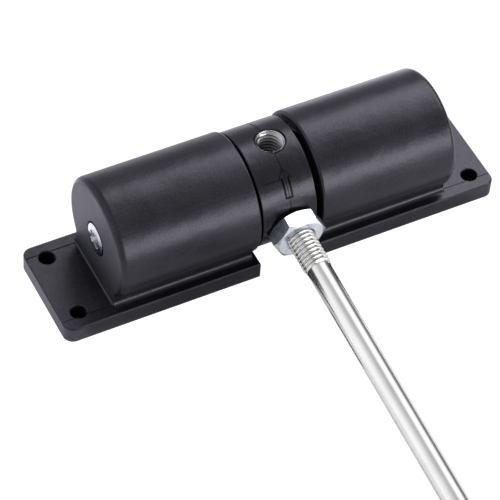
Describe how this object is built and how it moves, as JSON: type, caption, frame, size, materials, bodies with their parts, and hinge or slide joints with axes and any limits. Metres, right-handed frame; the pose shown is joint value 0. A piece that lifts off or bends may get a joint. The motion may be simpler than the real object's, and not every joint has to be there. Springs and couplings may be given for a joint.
{
  "type": "double spring door closer",
  "caption": "Surface-mounted spring door closer: black barrels on a drilled base plate, a sprung winding ring between them, and a threaded steel lever rod with a roller end.",
  "frame": {"origin": "centre of the base plate's underside, midway between its screw holes", "axes": "+X along the barrels, -Y to the side that the lever points to at rest, +Z away from the surface that the plate is screwed to"},
  "size_m": [0.1344, 0.1611, 0.0374],
  "materials": {
    "black_coat": "satin black coat on aluminium",
    "ring_coat": "satin black coat on machined aluminium",
    "zinc_plate": "bright zinc plate",
    "dull_zinc": "dull zinc plate",
    "polished_steel": "polished bright steel",
    "bright_steel": "turned steel",
    "spring_steel": "oil-tempered spring steel",
    "bronze": "oiled bronze",
    "black_nylon": "moulded black nylon",
    "pale_nylon": "moulded natural nylon"
  },
  "bodies": {
    "housing": {"housing": "black_coat", "end_plug": "black_coat", "plug_pin": "bright_steel", "shaft": "bright_steel", "left_shaft_screw": "dull_zinc", "right_shaft_screw": "dull_zinc", "left_spring_sleeve": "black_nylon", "right_spring_sleeve": "black_nylon", "left_thrust_washer": "black_nylon", "right_thrust_washer": "black_nylon", "left_spring": "spring_steel", "right_spring": "spring_steel"},
    "lever": {"winding_ring": "ring_coat", "left_ring_bush": "bronze", "right_ring_bush": "bronze", "lever_rod": "polished_steel", "lock_nut": "zinc_plate", "fork": "zinc_plate", "fork_nut": "zinc_plate", "roller_pin": "bright_steel", "pin_clip": "spring_steel"},
    "roller": {"roller": "pale_nylon"}
  },
  "joints": [
    {"name": "lever_swing", "type": "hinge", "parent": "housing", "child": "lever", "pos_m": [0, 0, 0.02], "axis": [-1, 0, 0], "range_deg": [-10, 160], "stiffness_Nm_per_rad": 3.1, "deforming": ["left_spring", "right_spring"]},
    {"name": "roller_spin", "type": "hinge", "parent": "lever", "child": "roller", "pos_m": [0.0005, -0.13824, 0.0055], "axis": [1, 0, 0], "continuous": true}
  ]
}
